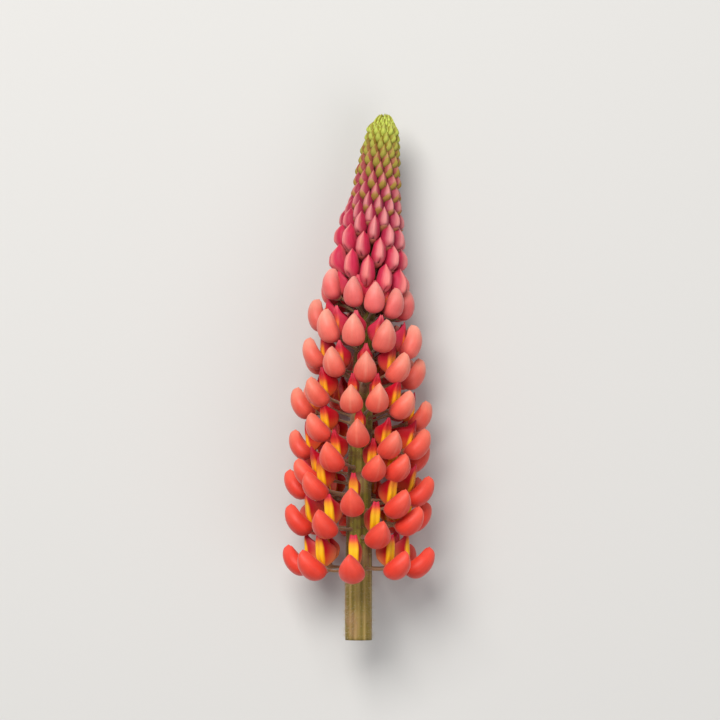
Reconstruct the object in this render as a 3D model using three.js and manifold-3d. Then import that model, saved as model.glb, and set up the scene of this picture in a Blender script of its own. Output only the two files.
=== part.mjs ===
// A lupin flower spike, cut and laid on its side, in millimetres with +Z up and the tip towards +Y.
// It is built along a stem: x is sideways, y runs from the cut end to the tip, and z points up.
// One flower is built with x across it, y along the stem and z away from the stem.
import * as THREE from "three";
import { mergeVertices } from "three/addons/utils/BufferGeometryUtils.js";
import Module from "manifold-3d";

const wasm = await Module();
wasm.setup();

// Stem
const SPIKE_LENGTH = 237;
const STEM_LENGTH = 233;
const STEM_RADIUS = 6.1;
const STEM_TIP_RADIUS = 1;
const BEND = 12; // how far the tip leans sideways
const BEND_START = 18;
const BEND_POWER = 2.3;
const GAP = 0.3; // between the stem and what grows on it

// How the spike lies: its flowers carry it, and the tip hangs a little lower than the cut end
const AXIS_HEIGHT = 32.5;
const TILT = THREE.MathUtils.degToRad(2);

// Open flower
const POUCH_LENGTH = 17.5;
const POUCH_WIDTH = 11.4;
const POUCH_DEPTH = 9.6;
const POUCH_CURL = 4; // how far the pouch's outer end turns up
const POUCH_SHAPE = [
  [0.25, 0.8],
  [0.6, 1],
  [0.9, 0.6],
]; // share of the length, share of the half width
const BANNER_OUTLINE = [
  [1, 2],
  [4.6, 6.5],
  [4.4, 15],
  [-3.4, 13],
  [-4.4, 6.5],
]; // distance out from the calyx, distance up
const BANNER_FRONT = 3.4;
const BANNER_BACK = 7;
const CALYX_RADIUS = 2.3;
const CALYX_LENGTH = 4.5;
const CALYX_MOUTH = 0.6; // where the calyx is widest, against its length
const PEDICEL_RADIUS = 0.8;

// Rings of flowers, from the lowest: height on the stem, drop of the ring towards the right,
// reach from the axis, slope of the pouch in degrees, size against a full-grown flower, and each
// flower's azimuth, in degrees from straight up, with how far it sits above its ring
const RINGS = [
  {
    height: 29.5,
    drop: 0,
    reach: 34.4,
    slope: 34,
    size: 1,
    flowers: [[-95, 2], [-51, 0], [-5, -1.4], [38, 0.4], [88, 1], [133, 2], [178, 1], [221, 2]],
  },
  {
    height: 48.5,
    drop: 0,
    reach: 33.5,
    slope: 34,
    size: 0.98,
    flowers: [[-86, 1], [-37, -0.6], [19, -5.2], [61, 1.1], [100, 3], [142, 2], [188, 0], [232, 1]],
  },
  {
    height: 61,
    drop: 0,
    reach: 34.2,
    slope: 36,
    size: 0.96,
    flowers: [[-97, 4.2], [-47, 3.5], [-6, -3.4], [40, -4], [81, 1.8], [121, 1], [165, 2], [210, 1]],
  },
  {
    height: 74.5,
    drop: 0,
    reach: 32,
    slope: 38,
    size: 0.95,
    flowers: [[-68, -4.6], [-30, 2.6], [14, -1.8], [44, -1.5], [101, 3.6], [143, 1], [187, 0], [232, 1]],
  },
  {
    height: 86.5,
    drop: 0,
    reach: 32.7,
    slope: 40,
    size: 0.93,
    flowers: [[-97, -4], [-47, 3.4], [-1, 1.4], [30, -3.4], [75, -2.7], [122, -1], [165, 0], [209, 0]],
  },
  {
    height: 102.5,
    drop: 3,
    reach: 32.2,
    slope: 42,
    size: 0.92,
    flowers: [
      [-90, -5], [-50.5, 0.6], [-12, -0.4], [17, 2], [44, 0.6],
      [94, -2.9], [137, 0.6], [168, 1.6], [202, 0.5], [235, -1.3],
    ],
  },
  {
    height: 117,
    drop: 3,
    reach: 28.4,
    slope: 49,
    size: 0.92,
    flowers: [
      [-76, 2], [-35.5, -0.4], [2, -0.5], [43, 1.9], [96, 0.8],
      [126, 0.5], [156, 0.6], [186, 0.6], [217, 0], [249, 0.3],
    ],
  },
  {
    height: 131,
    drop: 5,
    reach: 26.4,
    slope: 60,
    size: 0.94,
    flowers: [
      [-88, 2], [-52, -2], [-15, -0.5], [22.5, 0.5], [76, 1.8],
      [111, 1.4], [141, 1], [171, 0.3], [200, 0.6], [232, 1],
    ],
  },
  {
    height: 147.5,
    drop: 4,
    reach: 21.6,
    slope: 68,
    size: 0.88,
    flowers: [
      [-72, 0.7], [-20, 0], [12, 0], [45, 0.2], [88, 1.3],
      [121, 0.4], [152, 0.6], [184, -1], [216, -2.2], [254, -1.6],
    ],
  },
];
const SINGLE_RINGS = 6; // the flowers of these rings are pieces of their own
const COLLAR_WALL = 1;
const COLLAR_HEIGHT = 6.5;

// Closed buds, in rings of eleven up to the tip, as [ring, value] on straight lines between the rings
const BUD_RINGS = 13;
const BUDS_PER_RING = 11;
const BUD_TURN = [[0, -3], [6, 17.5], [12, 36]]; // degrees
const BUD_HEIGHT = [[0, 165], [1, 174.8], [2, 183.3], [4, 195.3], [8, 216], [12, 229.5]];
const BUD_REACH = [[0, 12.6], [1, 12.4], [4, 9], [8, 7], [12, 5.4]]; // of the middle of a bud
const BUD_LENGTH = [[0, 10.4], [1, 13.6], [4, 11.6], [8, 9], [12, 6.8]];
const BUD_WIDTH = [[0, 6], [2, 6], [4, 5], [12, 2.9]];
const BUD_SLOPE = [[0, 70], [12, 78]];
const BUD_DROP = [[0, 4.4], [2, 4], [4, 0.5], [6, 0], [12, 0]]; // of the ring towards the right
const BUD_DEPTH = 1.2; // against its width
const BUD_WIDEST = 0.45; // where a bud is widest, against its length

// Core that the buds grow from, around the stem, as [radius, height]
const CORE = [
  [11.2, 160.5],
  [10.6, 174.8],
  [9.2, 183.3],
  [7.4, 195.3],
  [5.7, 216],
  [4.4, 229.5],
  [3.6, 234.5],
];
const CORE_DROP = 4; // of its lowest edge towards the right, none at the tip

// Facets: few, because these are the working solids
const STEM_SIDES = 12;
const STEM_STEPS = 10;
const CORE_STEPS = 3;
const POUCH_SIDES = 6;
const STALK_SIDES = 4;
const BUD_SIDES = 5;

const finish = (color) => new THREE.MeshStandardMaterial({ color, roughness: 0.6, metalness: 0 });
const green = finish("#8b8a4a");
const coral = finish("#f2594b");
const salmon = finish("#f58c78");
const rose = finish("#c8476a");

// The stem's curve and girth

function bendAt(y) {
  const along = Math.max(0, (y - BEND_START) / (SPIKE_LENGTH - BEND_START));
  return BEND * along ** BEND_POWER;
}

function leanAt(y) {
  return Math.atan(bendAt(y + 0.5) - bendAt(y - 0.5));
}

function stemRadiusAt(y) {
  return THREE.MathUtils.lerp(STEM_RADIUS, STEM_TIP_RADIUS, (y / STEM_LENGTH) ** 2);
}

// The value at a place, on straight lines through [place, value] knots.
function valueAt(knots, at) {
  const next = Math.max(1, knots.findIndex(([place]) => place >= at));
  const [[low, from], [high, to]] = [knots[next - 1], knots[next]];
  return THREE.MathUtils.mapLinear(at, low, high, from, to);
}

// Solids and geometries

function solidOf(geometry) {
  const bare = geometry.index ? geometry.toNonIndexed() : geometry.clone();
  bare.deleteAttribute("normal");
  bare.deleteAttribute("uv");
  const merged = mergeVertices(bare, 1e-3);
  const corners = merged.index.array;
  const kept = [];
  for (let i = 0; i < corners.length; i += 3) {
    const [a, b, c] = [corners[i], corners[i + 1], corners[i + 2]];
    if (a !== b && b !== c && c !== a) kept.push(a, b, c);
  }
  return new wasm.Manifold(
    new wasm.Mesh({
      numProp: 3,
      vertProperties: merged.attributes.position.array,
      triVerts: new Uint32Array(kept),
    }),
  );
}

function geometryOf(solid) {
  const mesh = solid.getMesh();
  const geometry = new THREE.BufferGeometry();
  geometry.setAttribute("position", new THREE.BufferAttribute(mesh.vertProperties, mesh.numProp));
  geometry.setIndex(new THREE.BufferAttribute(mesh.triVerts, 1));
  geometry.computeVertexNormals();
  return geometry;
}

function joined(geometries) {
  return geometryOf(geometries.map(solidOf).reduce((all, solid) => all.add(solid)));
}

// Moves each point of a geometry by a function that changes it in place.
function reshaped(geometry, change) {
  const place = geometry.getAttribute("position");
  const point = new THREE.Vector3();
  for (let i = 0; i < place.count; i++) {
    point.fromBufferAttribute(place, i);
    change(point);
    place.setXYZ(i, point.x, point.y, point.z);
  }
  return geometry;
}

function bent(geometry) {
  return reshaped(geometry, (point) => (point.x += bendAt(point.y)));
}

// A body of revolution about y. Its [radius, y] pairs start and end on the axis, or form a loop.
function turned(profile, sides) {
  const points = profile.map(([radius, y]) => new THREE.Vector2(radius, y));
  return new THREE.LatheGeometry(points, sides);
}

// A place on the stem, at a height and an azimuth in degrees.
function stationAt(y, azimuth) {
  const turn = new THREE.Euler(0, THREE.MathUtils.degToRad(azimuth), -leanAt(y), "ZYX");
  const matrix = new THREE.Matrix4().makeRotationFromEuler(turn);
  return matrix.setPosition(bendAt(y), y, 0);
}

// The stem

function stem() {
  const profile = [[0, 0]];
  for (let i = 0; i <= STEM_STEPS; i++) {
    const y = (STEM_LENGTH * i) / STEM_STEPS;
    profile.push([stemRadiusAt(y), y]);
  }
  profile.push([0, STEM_LENGTH]);
  return bent(turned(profile, STEM_SIDES));
}

// One open flower, with its calyx at the origin

function pouch(slope) {
  const rings = POUCH_SHAPE.map(([along, width]) => [width, along * POUCH_LENGTH]);
  const body = turned([[0, 0], ...rings, [0, POUCH_LENGTH]], POUCH_SIDES);
  body.scale(POUCH_WIDTH / 2, 1, POUCH_DEPTH / 2);
  reshaped(body, (point) => {
    point.z -= POUCH_CURL * ((point.y / POUCH_LENGTH) ** 2 - point.y / POUCH_LENGTH / 2);
  });
  return body.rotateX(THREE.MathUtils.degToRad(90 - slope));
}

function banner() {
  const outline = new THREE.Shape(BANNER_OUTLINE.map(([out, up]) => new THREE.Vector2(out, up)));
  const plate = new THREE.ExtrudeGeometry(outline, { depth: 1, bevelEnabled: false });
  plate.translate(0, 0, -0.5).rotateY(-Math.PI / 2);
  const outs = BANNER_OUTLINE.map(([out]) => out);
  const [back, front] = [Math.min(...outs), Math.max(...outs)];
  return reshaped(plate, (point) => {
    point.x *= THREE.MathUtils.mapLinear(point.z, back, front, BANNER_BACK, BANNER_FRONT);
  });
}

// The stalk ends in the calyx, a small cup that the petals leave. Its foot is at the stem.
function stalk(length) {
  const profile = [
    [0, 0],
    [PEDICEL_RADIUS, 0],
    [PEDICEL_RADIUS, length],
    [CALYX_RADIUS, length + CALYX_LENGTH * CALYX_MOUTH],
    [0, length + CALYX_LENGTH],
  ];
  return turned(profile, STALK_SIDES).rotateX(Math.PI / 2).translate(0, 0, -length);
}

// A whole flower on its station: z is the distance from the stem's axis.
function flower(ring, y, azimuth) {
  const petals = joined([pouch(ring.slope), banner()]);
  petals.scale(ring.size, ring.size, ring.size);
  petals.computeBoundingBox();
  const calyx = ring.reach - petals.boundingBox.max.z;
  const foot = stemRadiusAt(y) + GAP;
  petals.translate(0, 0, calyx);
  pressed(petals, y, azimuth, calyx);
  return joined([petals, stalk(calyx - foot).translate(0, 0, calyx)]);
}

// Flowers under the spike are pressed towards the stem until they just touch the surface.
function pressed(petals, y, azimuth, calyx) {
  const turn = THREE.MathUtils.degToRad(azimuth);
  const down = -Math.cos(turn);
  if (down <= 0) return;
  let share = 1;
  reshaped(petals, (point) => {
    if (point.z <= calyx) return;
    const clear = (AXIS_HEIGHT - (y + point.y) * Math.sin(TILT)) / Math.cos(TILT);
    const most = (clear - point.x * Math.sin(turn)) / down;
    share = Math.min(share, (most - calyx) / (point.z - calyx));
  });
  reshaped(petals, (point) => {
    if (point.z > calyx) point.z = calyx + (point.z - calyx) * share;
  });
}

// Rings of flowers

function heightIn(ring, azimuth, lift) {
  return ring.height + lift - ring.drop * Math.sin(THREE.MathUtils.degToRad(azimuth));
}

function singleFlowers(ring, number) {
  return ring.flowers.map(([azimuth, lift], i) => {
    const y = heightIn(ring, azimuth, lift);
    const mesh = new THREE.Mesh(flower(ring, y, azimuth), coral);
    mesh.applyMatrix4(stationAt(y, azimuth));
    mesh.name = `flower_${number}_${i + 1}`;
    return mesh;
  });
}

// A thin band around the stem, which the stalks of a joined ring grow from.
function collar(ring) {
  const half = COLLAR_HEIGHT / 2;
  const inner = stemRadiusAt(ring.height - half - ring.drop) + GAP;
  const outer = inner + COLLAR_WALL;
  const profile = [[inner, -half], [outer, -half], [outer, half], [inner, half], [inner, -half]];
  const band = turned(profile, STEM_SIDES);
  reshaped(band, (point) => (point.y += ring.height - (ring.drop * point.x) / outer));
  return bent(band);
}

function whorl(ring, number) {
  const flowers = ring.flowers.map(([azimuth, lift]) => {
    const y = heightIn(ring, azimuth, lift);
    return flower(ring, y, azimuth).applyMatrix4(stationAt(y, azimuth));
  });
  const mesh = new THREE.Mesh(joined([collar(ring), ...flowers]), salmon);
  mesh.name = `whorl_${number}`;
  return mesh;
}

// Closed buds

// One bud on its station, with its middle at the reach of its ring.
function bud(ring) {
  const length = valueAt(BUD_LENGTH, ring);
  const radius = valueAt(BUD_WIDTH, ring) / 2;
  const body = turned([[0, 0], [radius, length * BUD_WIDEST], [0, length]], BUD_SIDES);
  body.scale(1, 1, BUD_DEPTH).translate(0, -length / 2, 0);
  body.rotateX(THREE.MathUtils.degToRad(90 - valueAt(BUD_SLOPE, ring)));
  return body.translate(0, 0, valueAt(BUD_REACH, ring));
}

function core() {
  const [[wide, start]] = CORE;
  const roof = STEM_LENGTH + GAP;
  const bore = [];
  for (let i = 0; i <= CORE_STEPS; i++) {
    const y = THREE.MathUtils.lerp(start, STEM_LENGTH, i / CORE_STEPS);
    bore.push([stemRadiusAt(y - CORE_DROP) + GAP, y]);
  }
  const inside = [[0, roof], [STEM_TIP_RADIUS + GAP, roof], ...bore.slice(0, -1).reverse()];
  const body = turned([bore[0], ...CORE, [0, SPIKE_LENGTH], ...inside], STEM_SIDES);
  reshaped(body, (point) => {
    point.y -= (THREE.MathUtils.mapLinear(point.y, start, SPIKE_LENGTH, CORE_DROP, 0) * point.x) / wide;
  });
  return bent(body);
}

function budCluster() {
  const buds = [];
  for (let ring = 0; ring < BUD_RINGS; ring++) {
    for (let i = 0; i < BUDS_PER_RING; i++) {
      const azimuth = ((i + (ring % 2) / 2) * 360) / BUDS_PER_RING + valueAt(BUD_TURN, ring);
      const lower = valueAt(BUD_DROP, ring) * Math.sin(THREE.MathUtils.degToRad(azimuth));
      buds.push(bud(ring).applyMatrix4(stationAt(valueAt(BUD_HEIGHT, ring) - lower, azimuth)));
    }
  }
  const mesh = new THREE.Mesh(joined([core(), ...buds]), rose);
  mesh.name = "buds";
  return mesh;
}

// The whole spike

const spike = new THREE.Group();
const stemMesh = new THREE.Mesh(stem(), green);
stemMesh.name = "stem";
spike.add(stemMesh);
RINGS.forEach((ring, i) => {
  if (i < SINGLE_RINGS) spike.add(...singleFlowers(ring, i + 1));
  else spike.add(whorl(ring, i + 1));
});
spike.add(budCluster());
spike.rotation.x = -TILT;

// The origin is under the middle of the spike, on the surface it lies on.
const lupin = new THREE.Group();
lupin.add(spike);
const box = new THREE.Box3().setFromObject(lupin, true);
const middle = box.getCenter(new THREE.Vector3());
lupin.position.set(-middle.x, -middle.y, -box.min.z);

export default lupin;
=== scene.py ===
"""A cut lupin flower spike that lies on a pale surface, seen from straight above.

The spike is built along its stem, in millimetres: x is sideways, y runs from the cut end to the tip
and z points up. One flower is built with x across it, y along the stem and z away from the stem.
Each point carries marks that the materials read: along a petal from its base to its tip, across it
from its middle to its margin, the age of the flower, and a tone that differs from flower to flower.
"""
import math
import random
from collections import namedtuple

import bmesh
import bpy
import numpy as np
from mathutils import Matrix, Vector


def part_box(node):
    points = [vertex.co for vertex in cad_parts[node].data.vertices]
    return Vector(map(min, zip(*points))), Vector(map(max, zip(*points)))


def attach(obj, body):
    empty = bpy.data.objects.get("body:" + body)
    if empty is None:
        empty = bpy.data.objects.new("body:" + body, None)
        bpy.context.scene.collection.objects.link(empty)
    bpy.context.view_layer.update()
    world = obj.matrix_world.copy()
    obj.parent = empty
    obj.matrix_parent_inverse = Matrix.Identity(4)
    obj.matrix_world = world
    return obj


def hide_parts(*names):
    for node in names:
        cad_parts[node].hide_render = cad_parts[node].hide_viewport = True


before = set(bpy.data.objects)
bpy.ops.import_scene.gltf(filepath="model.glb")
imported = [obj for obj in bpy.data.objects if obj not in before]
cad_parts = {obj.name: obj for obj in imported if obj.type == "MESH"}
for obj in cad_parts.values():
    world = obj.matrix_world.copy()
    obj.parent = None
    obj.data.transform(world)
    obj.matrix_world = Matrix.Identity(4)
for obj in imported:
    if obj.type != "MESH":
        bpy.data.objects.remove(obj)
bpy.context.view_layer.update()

MM = 0.001

# The stem, as in the construction model
SPIKE_LENGTH = 237
STEM_LENGTH = 233
STEM_RADIUS = 6.1
STEM_TIP_RADIUS = 1
BEND = 12
BEND_START = 18
BEND_POWER = 2.3
AXIS_HEIGHT = 32.5
TILT = math.radians(2)

# Rings of flowers, from the lowest: height on the stem, drop of the ring towards the right, reach
# from the axis, slope of the pouch in degrees, size against a full-grown flower, and each flower's
# azimuth, in degrees from straight up, with how far it sits above its ring
RINGS = [
    (29.5, 0, 34.4, 34, 1,
     [(-95, 2), (-51, 0), (-5, -1.4), (38, 0.4), (88, 1), (133, 2), (178, 1), (221, 2)]),
    (48.5, 0, 33.5, 34, 0.98,
     [(-86, 1), (-37, -0.6), (19, -5.2), (61, 1.1), (100, 3), (142, 2), (188, 0), (232, 1)]),
    (61, 0, 34.2, 36, 0.96,
     [(-97, 4.2), (-47, 3.5), (-6, -3.4), (40, -4), (81, 1.8), (121, 1), (165, 2), (210, 1)]),
    (74.5, 0, 32, 38, 0.95,
     [(-68, -4.6), (-30, 2.6), (14, -1.8), (44, -1.5), (101, 3.6), (143, 1), (187, 0), (232, 1)]),
    (86.5, 0, 32.7, 40, 0.93,
     [(-97, -4), (-47, 3.4), (-1, 1.4), (30, -3.4), (75, -2.7), (122, -1), (165, 0), (209, 0)]),
    (102.5, 3, 32.2, 42, 0.92,
     [(-90, -5), (-50.5, 0.6), (-12, -0.4), (17, 2), (44, 0.6),
      (94, -2.9), (137, 0.6), (168, 1.6), (202, 0.5), (235, -1.3)]),
    (117, 3, 28.4, 49, 0.92,
     [(-76, 2), (-35.5, -0.4), (2, -0.5), (43, 1.9), (96, 0.8),
      (126, 0.5), (156, 0.6), (186, 0.6), (217, 0), (249, 0.3)]),
    (131, 5, 26.4, 60, 0.94,
     [(-88, 2), (-52, -2), (-15, -0.5), (22.5, 0.5), (76, 1.8),
      (111, 1.4), (141, 1), (171, 0.3), (200, 0.6), (232, 1)]),
    (147.5, 4, 21.6, 68, 0.88,
     [(-72, 0.7), (-20, 0), (12, 0), (45, 0.2), (88, 1.3),
      (121, 0.4), (152, 0.6), (184, -1), (216, -2.2), (254, -1.6)]),
]
SINGLE_RINGS = 6  # the flowers of these rings have a node each; a higher ring is one node

# Pouch, the two side petals that meet in a keel. Its keel and its upper edge run side by side from
# the calyx to the tip, through evenly spaced points (out from the stem, up along the stem) at its
# least slope, and its half-widths are shares of the widest.
POUCH_KEEL = [(0, -0.8), (2, -3), (4.6, -4.2), (7.6, -3.9), (10.6, -1.8), (12.9, 1.4), (13.9, 5),
              (13.5, 8.3), (11.2, 10.3)]
POUCH_EDGE = [(0, 0.6), (1.5, 1.8), (3, 3), (4.6, 4.2), (6.1, 5.5), (7.4, 6.8), (8.5, 8.2),
              (9.7, 9.5), (11.2, 10.3)]
POUCH_WIDTHS = [0.2, 0.64, 0.9, 1, 0.96, 0.8, 0.52, 0.22, 0.02]
POUCH_WIDTH = 11.4
POUCH_SLOPE = 34
POUCH_ROUNDNESS = (1.05, 0.75)  # powers of its section's half-width, below and above its widest line
POUCH_SLIT = 1.4
POUCH_SLIT_WIDTH = 0.7
POUCH_SLIT_ENDS = (0.2, 0.86)  # shares of its length between which the slit is fully open
POUCH_LIP = 0.3
POUCH_LIP_TURN = 0.82 * math.pi  # from the keel round to the middle of the lip
POUCH_LIP_WIDTH = 0.22
POUCH_MIDDLE = [(34, 4.3), (46, 6), (54, 6.9), (68, 8)]  # by slope: height of its middle over its ring
NOD_LOW, NOD_HIGH = 15, 4  # degrees that the flowers that face up sag, in the lowest and highest ring

# Banner, the upright petal: (share of its height, millimetres)
BANNER_HEIGHT = 15.2
BANNER_FOOT = 0.8
BANNER_FRONT = [(0, 0.9), (0.12, 2.3), (0.25, 3.1), (0.6, 3.4), (0.85, 3.4), (1, 3)]
BANNER_COLUMN = [(0, 0.8), (0.15, 1.6), (0.4, 1.9), (0.8, 1.85), (1, 1.35)]
BANNER_DEPTH = [(0, 1), (0.08, 3.6), (0.2, 6.6), (0.42, 8.4), (0.65, 7.4), (0.85, 4.6), (1, 1.8)]
BANNER_FLARE = [(0, 0), (0.3, 0.4), (0.6, 0.6), (1, 0.3)]
BANNER_SPREAD = [(0, 0.2), (0.3, 2), (0.6, 2.5), (1, 0.6)]  # how much wider a young one is
BANNER_FALL = [(0, -0.3), (0.5, 0.4), (1, 3)]
BANNER_LEAN = [(0, -1), (0.35, 7), (0.6, 6), (0.8, -3), (1, -6)]  # by age: degrees that it leans outwards
BANNER_POINT = 0.55  # share of its column's width that a pointed one loses at its top
BANNER_GROOVE = 0.3
BANNER_NOTCH = 0.35
BANNER_THICKNESS = 0.32
BANNER_THINNING = 0.6  # share of its thickness that it loses at its margin
BANNER_NOD = 0.3  # share of the flower's sag by which it leans outwards

CALYX_RADIUS = 2.1
CALYX_OUTLINE = [(0, 0.3), (0.25, 0.74), (0.6, 1), (1, 0.96)]
CALYX_LENGTH = 2
CALYX_LOWER_LIP = 2.6
CALYX_UPPER_LIP = 1.6
CALYX_DROP = 0.2
CALYX_BACK = 0.8
CALYX_THICKNESS = 0.3
CALYX_RISE = 0.8  # share of the pouch's slope that it follows

PEDICEL_RADIUS = 0.68
PEDICEL_ROOT = 0.5  # how deep in the stem a stalk starts
PEDICEL_RISE = 30  # degrees that a stalk of the highest ring rises
PEDICEL_CLIMB = 0.8  # share of that rise that is left, because its foot curves
PEDICEL_SAG = (0.2, 0.9)  # least and most in the lowest ring
PEDICEL_GIRTH = [(0, 1.7), (0.12, 1.1), (0.5, 1), (0.9, 1.1), (1, 1.25)]  # along it, from its foot

# How the flowers change with age, from 0 in the lowest ring to 1 in the highest
YOUNG_FROM, YOUNG_TO = 0.55, 1
SLIM_FROM, SLIM_TO = 0.85, 1  # from here to here the pouch narrows to YOUNG_WIDTH
YOUNG_WIDTH = 0.93
YOUNG_OPENNESS = 0.75
YOUNG_HEIGHT = 0.96  # of its banner
POINTED_FROM, POINTED_TO = 0.05, 0.35  # from here to here the banner's top turns from square to pointed

# How much flowers differ from each other, to either side
SIZE_VARIES = 0.03
RISE_VARIES = 4
SWAY_VARIES = 7
LEAN_VARIES = 3
OPENNESS_VARIES = 0.06

# Buds, in rings of eleven, and the slender ones of the crown: (ring, value)
BUD_RINGS = 13
BUDS_PER_RING = 11
BUD_TURN = [(0, -3), (2, 4), (4, 11), (6, 17.5), (12, 36)]
BUD_HEIGHT = [(0, 164.2), (1, 174.8), (2, 183.3), (3, 189.6), (4, 195.3), (8, 216), (12, 229.5)]
BUD_REACH = [(0, 14), (1, 12.6), (2, 11.3), (4, 9), (8, 7), (12, 5.4)]
BUD_LENGTH = [(0, 16), (2, 13.8), (4, 11.6), (8, 9), (12, 6.8)]
BUD_WIDTH = [(0, 6.8), (2, 6.1), (4, 5), (8, 3.8), (12, 2.9)]
BUD_SLOPE = [(0, 70), (12, 78)]
BUD_DROP = [(0, 5), (1, 4.6), (2, 4), (3, 1.8), (4, 0.5), (6, 0), (12, 0)]
BUD_DEPTH = 1.2
BUD_BELLY = 0.13
BUD_RIDGE = 0.2
BUD_RIDGE_WIDTH = 0.3
# How far the across mark of a bud, and with it the painted highlight on its ridge, is shifted towards the
# side that the key light comes from
BUD_HIGHLIGHT_ASIDE = 0.08
BUD_SLIT = 0.34
BUD_SLIT_WIDTH = 0.16
BUD_BLUNTNESS = 0.16
BUD_STALK_RADIUS = 0.75
BUD_STALK_ROOT = 0.4
BUD_STALK_DROP = 1.5  # from the bud's foot down to where its stalk leaves the stem
BUD_STALK_TOP = 0.3
BUD_VARIES = 0.06
BUD_SLOPE_VARIES = 3
BUD_LEVEL_VARIES = 0.4
BUD_TURN_VARIES = 2
GOLDEN_ANGLE = 137.508
CROWN_COUNT = 60
CROWN_START = 228
CROWN_END = 235.3
CROWN_REACH = 5.2
CROWN_ROUNDNESS = 0.97
CROWN_SLOPE = (80, 89)
CROWN_LENGTH = 5.2
CROWN_WIDTH = 1.7
CROWN_AGE = 0.9  # the age of a bud where the rings end and the crown begins


# Curves

def through(knots, at):
    """The values at some places of a smooth curve through a few (place, value) knots."""
    place, value = np.array(knots, float).T
    slope = np.gradient(value, place)
    i = np.clip(np.searchsorted(place, at, side="right") - 1, 0, len(place) - 2)
    step = place[i + 1] - place[i]
    t = (at - place[i]) / step
    ends = value[i] * (1 + 2 * t) * (1 - t) ** 2 + value[i + 1] * t**2 * (3 - 2 * t)
    turns = slope[i] * t * (1 - t) ** 2 + slope[i + 1] * t**2 * (t - 1)
    return ends + turns * step


def smooth(low, high, at):
    """0 below low, 1 above high, and an even rise between them."""
    t = np.clip((at - low) / (high - low), 0, 1)
    return t * t * (3 - 2 * t)


def hump(at, middle, width):
    """1 in the middle, falling off to both sides."""
    return np.exp(-(((at - middle) / width) ** 2))


def mixed(a, b, share):
    return a + (b - a) * share


def eased(count):
    """Shares from 0 to 1 that lie closer together at both ends."""
    return (1 - np.cos(np.linspace(0, math.pi, count))) / 2


def bend_at(y):
    along = max(0, (y - BEND_START) / (SPIKE_LENGTH - BEND_START))
    return BEND * along**BEND_POWER


def lean_at(y):
    return math.atan(bend_at(y + 0.5) - bend_at(y - 0.5))


def stem_radius_at(y):
    return mixed(STEM_RADIUS, STEM_TIP_RADIUS, min(1, y / STEM_LENGTH) ** 2)


# Places

stem_low, stem_high = (np.array(corner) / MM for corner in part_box("stem"))
CUT_END = Vector((
    stem_low[0] + STEM_RADIUS,
    stem_low[1] + STEM_RADIUS * math.sin(TILT),
    stem_high[2] - STEM_RADIUS * math.cos(TILT),
))
LYING = Matrix.Scale(MM, 4) @ Matrix.Translation(CUT_END) @ Matrix.Rotation(-TILT, 4, "X")


def station_at(y, azimuth):
    """A place on the stem, at a height and an azimuth in degrees."""
    turn = Matrix.Rotation(-lean_at(y), 4, "Z") @ Matrix.Rotation(math.radians(azimuth), 4, "Y")
    return Matrix.Translation((bend_at(y), y, 0)) @ turn


def moved(points, matrix):
    matrix = np.array(matrix)
    return points @ matrix[:3, :3].T + matrix[:3, 3]


def raised(points, degrees):
    """Turns points about x, from out of the stem (z) towards up along it (y)."""
    return moved(points, Matrix.Rotation(-math.radians(degrees), 4, "X"))


# Meshes

MARKS = ("along", "across", "age", "tone")
JOIN_DISTANCE = 2e-6  # metres
CROWDING = 1.3  # how much the columns of a grid crowd towards a slit or a ridge


class Skin:
    """Gathers grids of points into one mesh, with the marks and the texture place of each point."""

    def __init__(self):
        self.points, self.faces, self.places, self.slots = [], [], [], []
        self.marks = {name: [] for name in MARKS}
        self.count = 0

    def grid(self, points, cell, slot=0, **marks):
        """Adds a grid of shape (rows, columns, 3). cell is its rectangle of the texture."""
        rows, columns = points.shape[:2]
        index = self.count + np.arange(rows * columns).reshape(rows, columns)
        corners = (index[:-1, :-1], index[:-1, 1:], index[1:, 1:], index[1:, :-1])
        faces = np.stack(corners, -1).reshape(-1, 4)
        left, bottom, right, top = cell
        u, v = np.meshgrid(np.linspace(left, right, columns), np.linspace(bottom, top, rows))
        self.points.append(points.reshape(-1, 3))
        self.faces.append(faces)
        self.places.append(np.stack([u, v], -1).reshape(-1, 2))
        self.slots.append(np.full(len(faces), slot))
        for name in MARKS:
            value = np.broadcast_to(marks.get(name, 0.0), (rows, columns))
            self.marks[name].append(value.reshape(-1))
        self.count += rows * columns

    def sheet(self, points, thickness, cells, slot=0, **marks):
        """Adds a thin closed petal around a grid: its outer side, its inner side and its rim."""
        half = normals_of(points) * thickness[..., None] / 2
        outer, inner = points + half, points - half
        self.grid(outer, cells[0], slot, **marks)
        self.grid(inner, cells[1], slot, **marks)
        rims = {
            name: np.stack([border(np.broadcast_to(value, points.shape[:2]))] * 2)
            for name, value in marks.items()
        }
        self.grid(np.stack([border(outer), border(inner)]), cells[2], slot, **rims)

    def piece(self, name, matrix, materials):
        """Makes the object, with its grids joined where their edges meet."""
        mesh = bpy.data.meshes.new(name)
        faces = np.concatenate(self.faces)
        mesh.from_pydata(moved(np.concatenate(self.points), matrix), [], faces.tolist())
        places = mesh.uv_layers.new(name="OFBake")
        places.data.foreach_set("uv", np.concatenate(self.places)[faces.ravel()].ravel())
        for mark, values in self.marks.items():
            layer = mesh.attributes.new(mark, "FLOAT", "POINT")
            layer.data.foreach_set("value", np.concatenate(values).astype(np.float32))
        mesh.polygons.foreach_set("material_index", np.concatenate(self.slots))
        for material in materials:
            mesh.materials.append(material)
        joined = bmesh.new()
        joined.from_mesh(mesh)
        bmesh.ops.remove_doubles(joined, verts=joined.verts, dist=JOIN_DISTANCE)
        bmesh.ops.recalc_face_normals(joined, faces=joined.faces)
        for face in joined.faces:
            face.smooth = True
        joined.to_mesh(mesh)
        joined.free()
        piece = bpy.data.objects.new(name, mesh)
        bpy.context.scene.collection.objects.link(piece)
        return piece


def points_of(x, y, z):
    """A grid of points from three arrays that fill it by broadcasting."""
    return np.stack(np.broadcast_arrays(x, y, z), -1)


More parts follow.
